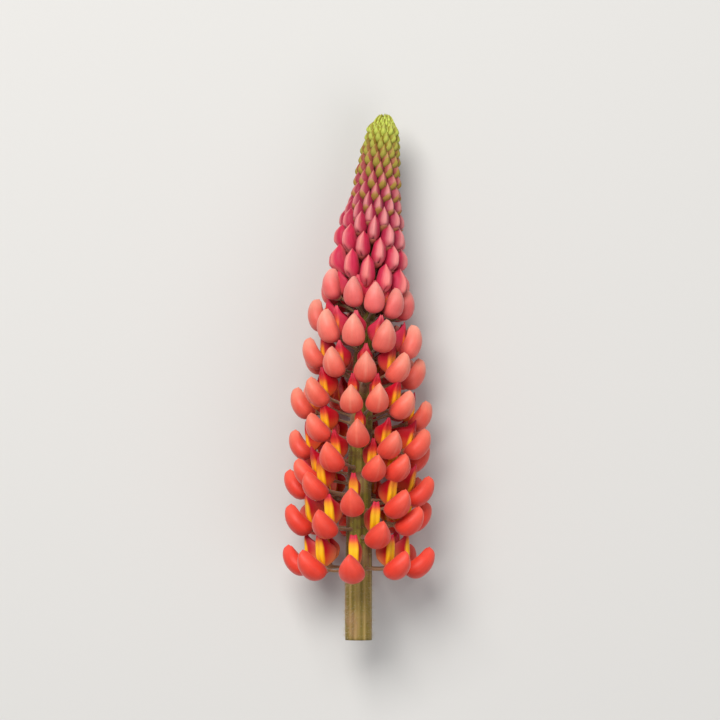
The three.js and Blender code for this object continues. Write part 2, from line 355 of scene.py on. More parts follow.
def normals_of(points):
    down, right = np.gradient(points, axis=0), np.gradient(points, axis=1)
    normal = np.cross(right, down)
    size = np.linalg.norm(normal, axis=-1, keepdims=True)
    return normal / np.maximum(size, 1e-9)


def border(values):
    """The values round the edge of a grid, back to where they began."""
    sides = (values[0], values[1:, -1], values[-1, -2::-1], values[-2::-1, 0])
    return np.concatenate(sides)


def tube(centres, radii, sides):
    """A grid around a line of centres that runs roughly along z."""
    turn = np.linspace(0, 2 * math.pi, sides + 1)
    ring = np.stack([np.cos(turn), np.sin(turn), np.zeros_like(turn)], -1)
    return centres[:, None, :] + ring[None] * np.asarray(radii)[:, None, None]


def between(start, end, rows, sides, radius):
    """A straight tube from one place to another."""
    along = (end - start).normalized()
    first = along.orthogonal().normalized()
    second = along.cross(first)
    turn = np.linspace(0, 2 * math.pi, sides + 1)[None, :, None]
    ring = radius * (np.cos(turn) * np.array(first) + np.sin(turn) * np.array(second))
    return mixed(np.array(start), np.array(end), np.linspace(0, 1, rows)[:, None, None]) + ring


# Petals of one flower, from the calyx at the origin

def rail(knots, at):
    """Places on a smooth curve through evenly spaced (out, up) knots."""
    return [through([(i / (len(knots) - 1), knot[j]) for i, knot in enumerate(knots)], at) for j in (0, 1)]


def pouch(breadth):
    """Two side petals joined along a keel, with a slit between their upper edges."""
    rows, columns = 29, 41
    along = eased(rows)[:, None]
    side = np.linspace(-1, 1, columns)[None, :]
    turn = math.pi * (1 - (1 - abs(side)) ** CROWDING)
    widths = [(i / (len(POUCH_WIDTHS) - 1), width) for i, width in enumerate(POUCH_WIDTHS)]
    half = through(widths, along) * breadth * POUCH_WIDTH / 2
    power = np.where(turn < math.pi / 2, *POUCH_ROUNDNESS)
    across = np.sign(side) * half * np.clip(np.sin(turn), 0, 1) ** power
    share = (1 - np.cos(turn)) / 2
    parted = smooth(0, POUCH_SLIT_ENDS[0], along) * smooth(1, POUCH_SLIT_ENDS[1], along)
    slit = (turn > math.pi / 2) * (1 - smooth(0, POUCH_SLIT_WIDTH, abs(across))) * POUCH_SLIT
    lip = hump(turn, POUCH_LIP_TURN, POUCH_LIP_WIDTH) * POUCH_LIP
    (keel_out, keel_up), (edge_out, edge_up) = rail(POUCH_KEEL, along), rail(POUCH_EDGE, along)
    reach = np.hypot(edge_out - keel_out, edge_up - keel_up)
    share = share + (lip - slit) * parted / np.maximum(reach, 2)
    points = points_of(across, mixed(keel_up, edge_up, share), mixed(keel_out, edge_out, share))
    return points, {"along": along, "across": abs(side)}


def banner(openness, pointed, young):
    """The upright petal: a narrow front column with both sides folded back beside it."""
    rows, half_columns = 21, 15
    up = np.linspace(0, 1, rows)
    front, column = through(BANNER_FRONT, up), through(BANNER_COLUMN, up)
    column = column * (1 - BANNER_POINT * pointed * smooth(0.65, 1, up))
    depth = through(BANNER_DEPTH, up) * openness
    flare = through(BANNER_FLARE, up) + young * through(BANNER_SPREAD, up)
    groove = BANNER_GROOVE * smooth(0, 0.2, up)
    # From the middle to the margin: how far sideways, how far out, and how far back as a share
    knots = [
        (0 * column, front - groove, 0),
        (0.55 * column, front - groove * 0.2, 0),
        (column, front - 0.3, 0.02),
        (column + 0.35 * flare, front - 0.22 * depth, 0.2),
        (column + 0.8 * flare, front - 0.5 * depth, 0.5),
        (column + flare, front - 0.8 * depth, 0.8),
        (column + 0.7 * flare, front - depth, 1),
    ]
    places = np.linspace(0, len(knots) - 1, half_columns)
    shares = [through([(j, float(j == k)) for j in range(len(knots))], places) for k in range(len(knots))]
    x, out, back = (
        sum(np.multiply.outer(knot[part], share) for knot, share in zip(knots, shares)) for part in range(3)
    )
    height = BANNER_FOOT + BANNER_HEIGHT * up[:, None] - through(BANNER_FALL, up)[:, None] * back
    across = places / places[-1]
    notch = BANNER_NOTCH * smooth(0.8, 1, up)[:, None] * (1 - smooth(0, 0.3, across))
    half = points_of(x, (height - notch) * mixed(1, YOUNG_HEIGHT, young), out)
    mirror = half[:, :0:-1] * (-1, 1, 1)
    marks = {"along": up[:, None], "across": np.concatenate([across[:0:-1], across])}
    return np.concatenate([mirror, half], 1), marks


def calyx():
    """A small cup with a long lower lip and a shorter upper one."""
    rows, columns = 8, 21
    along = np.linspace(0, 1, rows)[:, None]
    turn = np.linspace(-math.pi, math.pi, columns)[None, :]
    lower, upper = np.clip(-np.cos(turn), 0, 1), np.clip(np.cos(turn), 0, 1)
    length = CALYX_LENGTH + CALYX_LOWER_LIP * lower**1.5 + CALYX_UPPER_LIP * upper**2
    radius = CALYX_RADIUS * through(CALYX_OUTLINE, along)
    ups = radius * np.cos(turn) - CALYX_DROP
    return points_of(radius * np.sin(turn), ups, along * length - CALYX_BACK), {"along": along}


# Flowers

POUCH_CELL = (0.01, 0.01, 0.6, 0.6)
BANNER_CELLS = ((0.01, 0.63, 0.49, 0.99), (0.51, 0.63, 0.99, 0.99), (0.63, 0.25, 0.99, 0.28))
CALYX_CELLS = ((0.63, 0.31, 0.99, 0.44), (0.63, 0.46, 0.99, 0.6), (0.63, 0.2, 0.99, 0.23))
PEDICEL_CELL = (0.63, 0.01, 0.99, 0.17)


def pressed(points, calyx_at, y, azimuth):
    """How far a flower under the spike is pushed in, so that it just touches the surface."""
    turn = math.radians(azimuth)
    down = -math.cos(turn)
    if down <= 0:
        return 1
    outside = points[points[:, 2] > 0.5]
    clear = (AXIS_HEIGHT - (y + outside[:, 1]) * math.sin(TILT)) / math.cos(TILT)
    most = (clear - outside[:, 0] * math.sin(turn)) / down
    return min(1, ((most - calyx_at) / outside[:, 2]).min())


def posed(points, degrees, size, sway):
    """Raises a petal, and turns it with its flower."""
    return moved(raised(points, degrees) * size, sway)


def pedicel(y, calyx_at, age, sag):
    """The stalk, which rises from the stem to the calyx at the origin."""
    along = np.linspace(0, 1, 9)
    foot = stem_radius_at(y) - PEDICEL_ROOT - calyx_at
    climb = foot * math.tan(math.radians(PEDICEL_RISE * age)) * PEDICEL_CLIMB
    ups = climb * (1 - along) ** 1.3 - sag * np.sin(math.pi * along)
    centres = points_of(0, ups, mixed(foot, 0, along))
    return tube(centres, PEDICEL_RADIUS * through(PEDICEL_GIRTH, along), 8)


def flower(name, ring, azimuth, lift, materials, node):
    """One open flower on its station."""
    height, drop, reach, slope, size, _ = RINGS[ring]
    draw = random.Random(name)
    age = ring / (len(RINGS) - 1)
    young = smooth(YOUNG_FROM, YOUNG_TO, age)
    known = {"age": age, "tone": draw.random()}
    size *= 1 + draw.uniform(-SIZE_VARIES, SIZE_VARIES)
    nod = mixed(NOD_LOW, NOD_HIGH, age**2) * max(0, math.cos(math.radians(azimuth)))
    rise = slope - POUCH_SLOPE - nod + draw.uniform(-RISE_VARIES, RISE_VARIES)
    sway = Matrix.Rotation(math.radians(draw.uniform(-SWAY_VARIES, SWAY_VARIES)), 4, "Y")
    openness = mixed(1, YOUNG_OPENNESS, young) + draw.uniform(-OPENNESS_VARIES, OPENNESS_VARIES)
    lean = float(through(BANNER_LEAN, age)) + BANNER_NOD * nod + draw.uniform(-LEAN_VARIES, LEAN_VARIES)

    pouch_points, pouch_marks = pouch(mixed(1, YOUNG_WIDTH, smooth(SLIM_FROM, SLIM_TO, age)))
    pouch_points = posed(pouch_points, rise, size, sway)
    banner_points, banner_marks = banner(openness, smooth(POINTED_FROM, POINTED_TO, age), young)
    banner_points = posed(banner_points, -lean, size, sway)
    calyx_points, calyx_marks = calyx()
    calyx_points = posed(calyx_points, CALYX_RISE * rise, size, sway)

    ups = pouch_points[..., 1]
    y = height + lift - drop * math.sin(math.radians(azimuth))
    y += float(through(POUCH_MIDDLE, slope)) * size - (ups.max() + ups.min()) / 2
    calyx_at = reach - pouch_points[..., 2].max()
    petals = np.concatenate([points.reshape(-1, 3) for points in (pouch_points, banner_points)])
    share = pressed(petals, calyx_at, y, azimuth)
    pouch_points, banner_points = (
        points * np.where(points[..., 2:] > 0, (1, 1, share), 1) for points in (pouch_points, banner_points)
    )

    skin = Skin()
    skin.grid(pouch_points, POUCH_CELL, 0, **pouch_marks, **known)
    thickness = BANNER_THICKNESS * (1 - BANNER_THINNING * banner_marks["across"])
    skin.sheet(banner_points, thickness, BANNER_CELLS, 1, **banner_marks, **known)
    wall = np.full(calyx_points.shape[:2], CALYX_THICKNESS)
    skin.sheet(calyx_points, wall, CALYX_CELLS, 2, **calyx_marks, **known)
    stalk = pedicel(y, calyx_at, age, draw.uniform(*PEDICEL_SAG) * (1 - age))
    skin.grid(stalk, PEDICEL_CELL, 2, across=1.0, **known)
    place = LYING @ station_at(y, azimuth) @ Matrix.Translation((0, 0, calyx_at))
    piece = skin.piece(name, place, materials)
    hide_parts(node)
    return piece


def flowers(materials):
    made = []
    for ring, row in enumerate(RINGS):
        for i, (azimuth, lift) in enumerate(row[-1]):
            name = f"lupin_flower_{ring + 1}_{i + 1}"
            node = f"flower_{ring + 1}_{i + 1}" if ring < SINGLE_RINGS else f"whorl_{ring + 1}"
            made.append(flower(name, ring, azimuth, lift, materials, node))
    return made


# Buds

BudStation = namedtuple("BudStation", "level reach azimuth length width slope age stalked")
BUD_CELLS = ((0.01, 0.14, 0.24, 0.32), (0.01, 0.05, 0.24, 0.12), (0.01, 0.01, 0.24, 0.035))
BUD_OUTLINE = [(0, 0.05), (0.1, 0.38), (0.25, 0.78), (0.42, 1), (0.6, 0.94), (0.78, 0.64), (0.9, 0.33),
               (1, 0.02)]
CUP_LENGTH = [(0, 0.24), (0.18, 0.4), (0.3, 0.6), (0.5, 0.76), (1, 0.85)]  # by age, as a share of the bud
CUP_BACK = 0.16  # its length on the inner side of the bud
CUP_LOOSENESS = (1.07, 1.015)  # at the bud's foot and at its tip
CUP_WALL = 0.02
CUP_DROP = 0.025


def bud_ridge(turn, along):
    """How far a bud rises along the middle of its outer side, as a share of its depth."""
    return BUD_RIDGE * hump(turn, 0, BUD_RIDGE_WIDTH) * smooth(0.3, 0.6, along)


def bud(length, width, age):
    """A closed bud along y, with a ridge down its outer side that parts in its lower half."""
    rows, columns = 19, 33
    along = eased(rows)[:, None]
    side = np.linspace(-1, 1, columns)[None, :]
    turn = math.pi * np.sign(side) * abs(side) ** CROWDING
    blunt = BUD_BLUNTNESS * (1 - smooth(0.1, 0.45, age)) * hump(along, 0.85, 0.13)
    radius = through(BUD_OUTLINE, along) + blunt * (1 - along) / 0.15
    slit = BUD_SLIT * hump(turn, 0, BUD_SLIT_WIDTH) * smooth(0.04, 0.14, along) * smooth(0.5, 0.3, along)
    slit = slit * (1 - smooth(0.1, 0.35, age))
    out = np.cos(turn) * BUD_DEPTH * (1 + bud_ridge(turn, along) - slit)
    belly = BUD_BELLY * length * np.sin(math.pi * along)
    points = points_of(radius * np.sin(turn) * width / 2, along * length, radius * out * width / 2 + belly)
    # The mark is shifted to one side, which moves the painted highlight of the ridge towards the lit side.
    across = abs(side + BUD_HIGHLIGHT_ASIDE * smooth(0.3, 0.6, along))
    return points, {"along": along, "across": across}


def bud_cup(length, width, age):
    """The calyx that holds a bud, with a long pointed lip on its outer side."""
    rows, columns = 11, 33
    along = np.linspace(0, 1, rows)[:, None]
    turn = np.linspace(-math.pi, math.pi, columns)[None, :]
    lip = float(through(CUP_LENGTH, age))
    reach = CUP_BACK + (lip - CUP_BACK) * np.clip(np.cos(turn * 0.9), 0, 1) ** 2.2
    share = along * reach
    looseness = mixed(*CUP_LOOSENESS, share)
    radius = through(BUD_OUTLINE, share) * looseness + CUP_WALL
    out = np.cos(turn) * BUD_DEPTH * looseness * (1 + bud_ridge(turn, share))
    belly = BUD_BELLY * length * np.sin(math.pi * share)
    ups = (share - CUP_DROP) * length
    points = points_of(radius * np.sin(turn) * width / 2, ups, radius * out * width / 2 + belly)
    return points, {"along": share, "across": abs(turn) / math.pi}


def bud_stations():
    """The stations of all buds, from the lowest ring to the crown."""
    for ring in range(BUD_RINGS):
        height, reach, length, width, slope, drop, turn = (
            float(through(knots, ring))
            for knots in (BUD_HEIGHT, BUD_REACH, BUD_LENGTH, BUD_WIDTH, BUD_SLOPE, BUD_DROP, BUD_TURN)
        )
        for i in range(BUDS_PER_RING):
            azimuth = (i + ring % 2 / 2) * 360 / BUDS_PER_RING + turn
            level = height - drop * math.sin(math.radians(azimuth))
            age = CROWN_AGE * ring / (BUD_RINGS - 1)
            yield BudStation(level, reach, azimuth, length, width, slope, age, True)
    for i in range(CROWN_COUNT):
        along = (i + 1) / CROWN_COUNT
        level = mixed(CROWN_START, CROWN_END, along)
        reach = CROWN_REACH * math.sqrt(1 - CROWN_ROUNDNESS * along**2)
        slope, age = mixed(*CROWN_SLOPE, along), mixed(CROWN_AGE, 1, along)
        yield BudStation(level, reach, i * GOLDEN_ANGLE, CROWN_LENGTH, CROWN_WIDTH, slope, age, False)


def add_bud(skin, station, number):
    """Adds one bud with its cup and stalk, in the texture's cell of that number."""
    draw = random.Random(number)
    length = station.length * (1 + draw.uniform(-BUD_VARIES, BUD_VARIES))
    width = station.width * (1 + draw.uniform(-BUD_VARIES, BUD_VARIES))
    slope = station.slope + draw.uniform(-BUD_SLOPE_VARIES, BUD_SLOPE_VARIES)
    level = station.level + draw.uniform(-BUD_LEVEL_VARIES, BUD_LEVEL_VARIES)
    place = station_at(level, station.azimuth + draw.uniform(-BUD_TURN_VARIES, BUD_TURN_VARIES))
    place = place @ Matrix.Translation((0, 0, station.reach))
    place = place @ Matrix.Rotation(math.radians(90 - slope), 4, "X")
    place = place @ Matrix.Translation((0, -length / 2, -BUD_BELLY * length))
    spot = number % BUDS_PER_RING
    left, bottom = (spot % 4) / 4, (spot // 4) / 3
    cells = [(u0 + left, v0 + bottom, u1 + left, v1 + bottom) for u0, v0, u1, v1 in BUD_CELLS]
    known = {"age": station.age, "tone": draw.random()}
    for make, slot in ((bud, 0), (bud_cup, 1)):
        points, marks = make(length, width, station.age)
        skin.grid(moved(points, place), cells[slot], slot, **marks, **known)
    if station.stalked:
        root = Vector((0, 0, stem_radius_at(level) - BUD_STALK_ROOT))
        root = station_at(level - length / 2 - BUD_STALK_DROP, station.azimuth) @ root
        top = place @ Vector((0, BUD_STALK_TOP, 0))
        stalk = between(root, top, rows=5, sides=6, radius=BUD_STALK_RADIUS)
        skin.grid(stalk, cells[2], 1, across=1.0, **known)


def buds(materials):
    stations = list(bud_stations())
    made = []
    for first in range(0, len(stations), BUDS_PER_RING):
        skin = Skin()
        for number, station in enumerate(stations[first:first + BUDS_PER_RING], first):
            add_bud(skin, station, number)
        piece = skin.piece(f"lupin_buds_{first // BUDS_PER_RING + 1}", LYING, materials)
        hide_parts("buds")
        made.append(piece)
    return made


# Stem

STEM_RIBS = 11
STEM_FINE_RIBS = 17
STEM_RIB_HEIGHT = 0.022  # as a share of its radius
STEM_INSET = 0.14  # keeps its ribs inside its construction radius
CUT_DISH = 0.25
STEM_CELL = (0.01, 0.01, 0.8, 0.99)
CUT_CELL = (0.82, 0.01, 0.99, 0.3)
TIP_CELL = (0.82, 0.4, 0.99, 0.6)


def stem(materials):
    """The ribbed stem, which wavers a little, with its dished cut end and its closed tip."""
    rows, columns = 180, 133
    y = np.linspace(0, STEM_LENGTH, rows)[:, None]
    turn = np.linspace(0, 2 * math.pi, columns)[None, :]
    radius = mixed(STEM_RADIUS, STEM_TIP_RADIUS, (y / STEM_LENGTH) ** 2)
    rib = np.cos(turn * STEM_RIBS + 0.6 * np.sin(y / 31) + 0.012 * y + 0.8 * np.sin(turn * 2))
    rib = 0.6 * rib + 0.4 * np.cos(turn * STEM_FINE_RIBS - 0.5 * np.sin(y / 23))
    waver = 0.12 * np.sin(turn * 2 + y / 17) + 0.08 * np.sin(turn * 3 - y / 9)
    girth = radius * (1 + STEM_RIB_HEIGHT * rib) - STEM_INSET + waver * radius / STEM_RADIUS
    bend = np.vectorize(bend_at)(y)
    points = points_of(girth * np.cos(turn) + bend, y, girth * np.sin(turn))
    skin = Skin()
    skin.grid(points, STEM_CELL, 0, along=y / STEM_LENGTH, across=(rib + 1) / 2)
    share = np.linspace(0, 1, 12)[:, None]
    face = mixed(points[0], points[0].mean(0), share[..., None])
    face[..., 1] += CUT_DISH * smooth(0, 0.25, share) * (1 - smooth(0.6, 1, share) * 0.5)
    skin.grid(face, CUT_CELL, 1, along=share, across=(rib[0] + 1) / 2)
    tip = mixed(points[-1], points[-1].mean(0), share[::11, :, None])
    skin.grid(tip, TIP_CELL, 0, along=1.0, across=0.5)
    piece = skin.piece("lupin_stem", LYING, materials)
    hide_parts("stem")
    return piece


# Hairs of the stem

HAIR_LENGTH = (0.6, 2)
HAIR_RADIUS = 0.055
HAIR_TAPER = 0.9
HAIR_ROOT = 0.5  # how deep in the stem a hair starts
HAIR_SWAY = 0.7  # how far its tip strays round the stem
HAIR_LEAN = (-0.8, 0.4)  # how far its tip strays along the stem
HAIR_CELL_MARGIN = 0.15
HAIRS_BELOW, HAIRS_AMONG = 900, 700  # below the lowest flowers, and among them
HAIRS_START, HAIRS_MIDDLE, HAIRS_END = 1, 27, 150


def stem_hairs(materials):
    """Fine hairs that stand off the stem, each a slender three-sided spike."""
    draw = random.Random("hairs")
    skin = Skin()
    side = math.ceil(math.sqrt(HAIRS_BELOW + HAIRS_AMONG))
    edge = HAIR_CELL_MARGIN / side
    for i in range(HAIRS_BELOW + HAIRS_AMONG):
        low, high = (HAIRS_START, HAIRS_MIDDLE) if i < HAIRS_BELOW else (HAIRS_MIDDLE, HAIRS_END)
        y = draw.uniform(low, high)
        place = station_at(y, draw.uniform(0, 360))
        root = stem_radius_at(y) - HAIR_ROOT
        end = root + HAIR_ROOT + draw.uniform(*HAIR_LENGTH)
        foot = place @ Vector((0, 0, root))
        tip = place @ Vector((draw.uniform(-HAIR_SWAY, HAIR_SWAY), draw.uniform(*HAIR_LEAN), end))
        hair = between(foot, tip, rows=2, sides=3, radius=HAIR_RADIUS)
        hair[-1] = mixed(hair[-1], np.array(tip), HAIR_TAPER)
        left, bottom = i % side / side, i // side / side
        cell = (left + edge, bottom + edge, left + 1 / side - edge, bottom + 1 / side - edge)
        skin.grid(hair, cell, 0, along=y / STEM_LENGTH, across=1.0)
    piece = skin.piece("lupin_stem_hairs", LYING, materials)
    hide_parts("stem")
    return piece


# Materials

def colour(code):
    """The linear colour of a code such as ff8040."""
    parts = [int(code[i:i + 2], 16) / 255 for i in (0, 2, 4)]
    return (*(c / 12.92 if c < 0.04045 else ((c + 0.055) / 1.055) ** 2.4 for c in parts), 1)


BUMP_DISTANCE = 0.0002  # metres


class Painter:
    """Builds one material's nodes."""

    def __init__(self, name, roughness, **fixed):
        self.material = bpy.data.materials.new(name)
        self.material.use_nodes = True
        self.tree = self.material.node_tree
        self.shader = self.tree.nodes["Principled BSDF"]
        self.shader.inputs["Roughness"].default_value = roughness
        for socket, value in fixed.items():
            self.shader.inputs[socket.replace("_", " ")].default_value = value

    def put(self, socket, value):
        """Links a value, or sets it where it is a number or a colour."""
        if isinstance(value, bpy.types.NodeSocket):
            self.tree.links.new(value, socket)
        else:
            socket.default_value = value

    def mark(self, name):
        node = self.tree.nodes.new("ShaderNodeAttribute")
        node.attribute_name = name
        return node.outputs["Fac"]

    def maths(self, operation, a, b):
        node = self.tree.nodes.new("ShaderNodeMath")
        node.operation = operation
        self.put(node.inputs[0], a)
        self.put(node.inputs[1], b)
        return node.outputs[0]

    def times(self, a, b):
        return self.maths("MULTIPLY", a, b)

    def rise(self, value, low, high):
        """0 at low, 1 at high, smooth between them. low may be above high."""
        node = self.tree.nodes.new("ShaderNodeMapRange")
        node.interpolation_type = "SMOOTHSTEP"
        self.put(node.inputs["Value"], value)
        bounds = (high, low, 1, 0) if low > high else (low, high, 0, 1)
        for name, bound in zip(("From Min", "From Max", "To Min", "To Max"), bounds):
            node.inputs[name].default_value = bound
        return node.outputs["Result"]

    def mix(self, share, a, b, blend="MIX"):
        node = self.tree.nodes.new("ShaderNodeMix")
        node.data_type, node.blend_type = "RGBA", blend
        self.put(node.inputs["Factor"], share)
        self.put(node.inputs[6], a)
        self.put(node.inputs[7], b)
        return node.outputs[2]

    def ramp(self, value, stops):
        """A colour that runs through (place, code) stops, or a share through (place, share) stops."""
        node = self.tree.nodes.new("ShaderNodeValToRGB")
        while len(node.color_ramp.elements) < len(stops):
            node.color_ramp.elements.new(0.5)
        for element, (place, shade) in zip(node.color_ramp.elements, stops):
            element.position = place
            element.color = colour(shade) if isinstance(shade, str) else (shade, shade, shade, 1)
        self.put(node.inputs[0], value)
        return node.outputs["Color"]

    def shaded(self, base, value, code, share, low=0.3, high=0.7):
        """Darkens the base by a colour where the value is low, and leaves it alone where it is high."""
        return self.mix(share, base, self.ramp(value, [(low, code), (high, "ffffff")]), "MULTIPLY")

    def noise(self, vector, scale, detail=3):
        node = self.tree.nodes.new("ShaderNodeTexNoise")
        node.inputs["Scale"].default_value = scale
        node.inputs["Detail"].default_value = detail
        self.put(node.inputs["Vector"], vector)
        return node.outputs["Fac"]

    def vector(self, x, y, z):
        node = self.tree.nodes.new("ShaderNodeCombineXYZ")
        for socket, value in zip(node.inputs, (x, y, z)):
            self.put(socket, value)
        return node.outputs[0]

    def place(self):
        return self.tree.nodes.new("ShaderNodeTexCoord").outputs["Object"]

    def finish(self, base, roughness=None, height=None, bump=0.2):
        """Sets the colour and, where given, the roughness and the height of the bumps."""
        self.put(self.shader.inputs["Base Color"], base)
        if roughness is not None:
            self.put(self.shader.inputs["Roughness"], roughness)
        if height is not None:
            node = self.tree.nodes.new("ShaderNodeBump")
            node.inputs["Strength"].default_value = bump
            node.inputs["Distance"].default_value = BUMP_DISTANCE
            self.put(node.inputs["Height"], height)
            self.put(self.shader.inputs["Normal"], node.outputs[0])
        return self.material


SOFT_PETAL = {
    "Specular_IOR_Level": 0.3,
    "Sheen_Weight": 0.15,
    "Sheen_Roughness": 0.4,
    "Subsurface_Weight": 0.1,
    "Subsurface_Radius": (0.0025, 0.0008, 0.0005),
    "Subsurface_Scale": 1.0,
}
DEEP_PETAL = {**SOFT_PETAL, "Sheen_Weight": 0.04, "Specular_IOR_Level": 0.2}  # keeps dark colours rich
STREAK_STRETCH = 2
STREAK_SHIFT = 40  # far enough that no two flowers have the same streaks


def streaks(paint, fineness):
    """Noise drawn out along the petal, as its veins are."""
    across = paint.times(paint.mark("across"), fineness)
    along = paint.times(paint.mark("along"), STREAK_STRETCH)
    tone = paint.times(paint.mark("tone"), STREAK_SHIFT)
    return paint.noise(paint.vector(across, along, tone), 1)


def pouch_material():
    """Coral, paler with age, with a painted highlight towards the tip and down the keel, and painted shade
    towards the calyx and along the slit.
    """
    paint = Painter("lupin_pouch", 0.45, **SOFT_PETAL)
    age, along, across = (paint.mark(name) for name in ("age", "along", "across"))
    middle = paint.ramp(age, [(0, "f04430"), (0.35, "f24a38"), (0.62, "f2624e"), (0.85, "f07262"),
                              (1, "ee706c")])
    # The paler tip colour is a painted highlight, and the deeper low colour is painted shade.
    tip = paint.ramp(age, [(0, "fa5a48"), (0.35, "fc7058"), (0.62, "f89a80"), (0.85, "f8ac94"),
                           (1, "f6aa9c")])
    low = paint.ramp(age, [(0, "e03018"), (0.35, "e63a24"), (0.62, "e4463c"), (1, "dc4656")])
    # Painted highlight towards the tip, painted shade towards the calyx
    base = paint.mix(paint.rise(along, 0.45, 0.95), middle, tip)
    base = paint.mix(paint.rise(along, 0.4, 0.05), base, low)
    # A painted highlight down the keel, weaker in the youngest flowers
    ridge_highlight = paint.times(paint.rise(across, 0.06, 0.0), paint.rise(along, 0.3, 0.6))
    ridge_highlight = paint.times(ridge_highlight, paint.ramp(age, [(0.7, 0.456), (0.95, 0.098)]))
    base = paint.mix(ridge_highlight, base, tip)
    # Painted shadow along the slit between the two side petals
    base = paint.mix(paint.times(paint.rise(across, 0.84, 0.95), 0.8), base, low)
    veins = streaks(paint, 34)
    base = paint.shaded(base, veins, "c8b8b8", 0.16)
    place = paint.place()
    base = paint.shaded(base, paint.noise(place, 260), "e8d4d2", 0.5)
    base = paint.shaded(base, paint.mark("tone"), "eadada", 0.6, low=0, high=1)
    cells = paint.noise(place, 2600, detail=2)
    roughness = paint.maths("ADD", paint.times(cells, 0.2), 0.36)
    return paint.finish(base, roughness, paint.maths("ADD", cells, veins))


def banner_material():
    """A yellow-orange column between crimson sides, which fade towards their margin."""
    paint = Painter("lupin_banner", 0.5, **DEEP_PETAL)
    age, along, across = (paint.mark(name) for name in ("age", "along", "across"))
    side = paint.ramp(along, [(0, "e07030"), (0.2, "d84c24"), (0.45, "c4061a"), (0.8, "c00424"),
                              (1, "d8304e")])
    faded = paint.ramp(along, [(0, "e08848"), (0.4, "e07850"), (0.75, "d0504c"), (1, "d84a66")])
    faded = paint.mix(paint.rise(age, 0.5, 0.9), faded, colour("e8686a"))
    opened = paint.ramp(age, [(0.05, 1), (0.3, 0.117)])
    fading = paint.times(paint.rise(across, 0.5, 0.92), opened)
    side = paint.mix(fading, side, faded)
    side = paint.mix(paint.times(paint.rise(age, 0.6, 1.0), 0.5), side, colour("cc4468"))
    column = paint.ramp(along, [(0, "e07c10"), (0.12, "f8a40c"), (0.35, "ffc010"), (0.58, "ffc424"),
                                (0.72, "f8a02c"), (0.82, "e4583c"), (0.91, "cc2c44")])
    later = paint.ramp(along, [(0, "e07c10"), (0.12, "f8a40c"), (0.32, "ffbc14"), (0.46, "f8a024"),
                               (0.62, "d8402c"), (0.76, "b40c20"), (1, "bc2440")])
    column = paint.mix(paint.rise(age, 0.1, 0.4), column, later)
    young = paint.ramp(along, [(0, "f0942c"), (0.4, "f08430"), (0.56, "dc5040"), (0.74, "c82c48"),
                               (1, "e0606c")])
    column = paint.mix(paint.rise(age, 0.55, 0.95), column, young)
    wrapped = paint.maths("ADD", across, paint.times(along, 0.12))
    base = paint.mix(paint.rise(wrapped, 0.57, 0.45), side, column)
    # Painted shade down the groove in the middle of the column
    groove = paint.times(paint.rise(across, 0.05, 0.0), 0.15)
    base = paint.mix(groove, base, colour("c86a10"))
    veins = streaks(paint, 34)
    base = paint.shaded(base, veins, "d0b0b0", 0.22)
    return paint.finish(base, height=veins)


def green_material():
    """The calyx and the stalk: pinkish brown-green under fine silvery hairs."""
    paint = Painter("lupin_calyx", 0.75, Sheen_Weight=0.5, Sheen_Roughness=0.4)
    along = paint.mark("along")
    base = paint.ramp(along, [(0, "8a6440"), (0.5, "96683f"), (1, "b0604c")])
    hairs = paint.noise(paint.place(), 1800, detail=4)
    base = paint.mix(paint.times(paint.rise(hairs, 0.5, 0.75), 0.5), base, colour("c8a888"))
    return paint.finish(base, height=hairs, bump=0.3)


def bud_material():
    """A painted highlight down the ridge and a pale foot between crimson flanks, with painted shade in the
    slit of the buds of the lower rings, and greener from ring to ring.
    """
    paint = Painter("lupin_bud", 0.5, **DEEP_PETAL)
    age, along, across = (paint.mark(name) for name in ("age", "along", "across"))
    flank = paint.ramp(age, [(0, "cc3052"), (0.08, "c42a4c"), (0.16, "b02848"), (0.27, "982444"),
                             (0.42, "a4384c"), (0.58, "9c5044"), (0.75, "8c7628"), (1, "a4a83a")])
    # The pale ridge colour is a painted highlight.
    ridge_highlight = paint.ramp(age, [(0, "f08884"), (0.12, "e48e8e"), (0.27, "d88888"), (0.42, "d0827e"),
                             (0.54, "c48868"), (0.7, "a89c40"), (1, "c8d468")])
    low = paint.ramp(age, [(0, "e8868a"), (0.22, "c8867c"), (0.38, "a88850"), (1, "bccc58")])
    # Where the painted highlight lies: down the ridge, shifted towards the side that the key light comes
    # from
    pale = paint.rise(across, 0.42, 0.08)
    base = paint.mix(paint.times(pale, paint.rise(along, 0.3, 0.55)), flank, ridge_highlight)
    foot = paint.times(paint.rise(along, 0.5, 0.2), paint.rise(across, 0.5, 0.2))
    base = paint.mix(paint.times(foot, 0.85), base, low)
    fresh = paint.rise(age, 0.5, 0.2)
    rim = paint.times(paint.times(paint.rise(across, 0.6, 0.9), 0.5), fresh)
    base = paint.mix(rim, base, ridge_highlight)
    veins = streaks(paint, 20)
    base = paint.shaded(base, veins, "c8a8a8", 0.4)
    # Painted shade in the slit of the buds of the lower rings
    slit_shade = paint.times(paint.rise(across, 0.055, 0.01), paint.rise(along, 0.46, 0.36))
    slit_shade = paint.times(paint.times(slit_shade, 0.85), fresh)
    base = paint.mix(slit_shade, base, colour("8a1030"))
    return paint.finish(base, height=veins, bump=0.25)


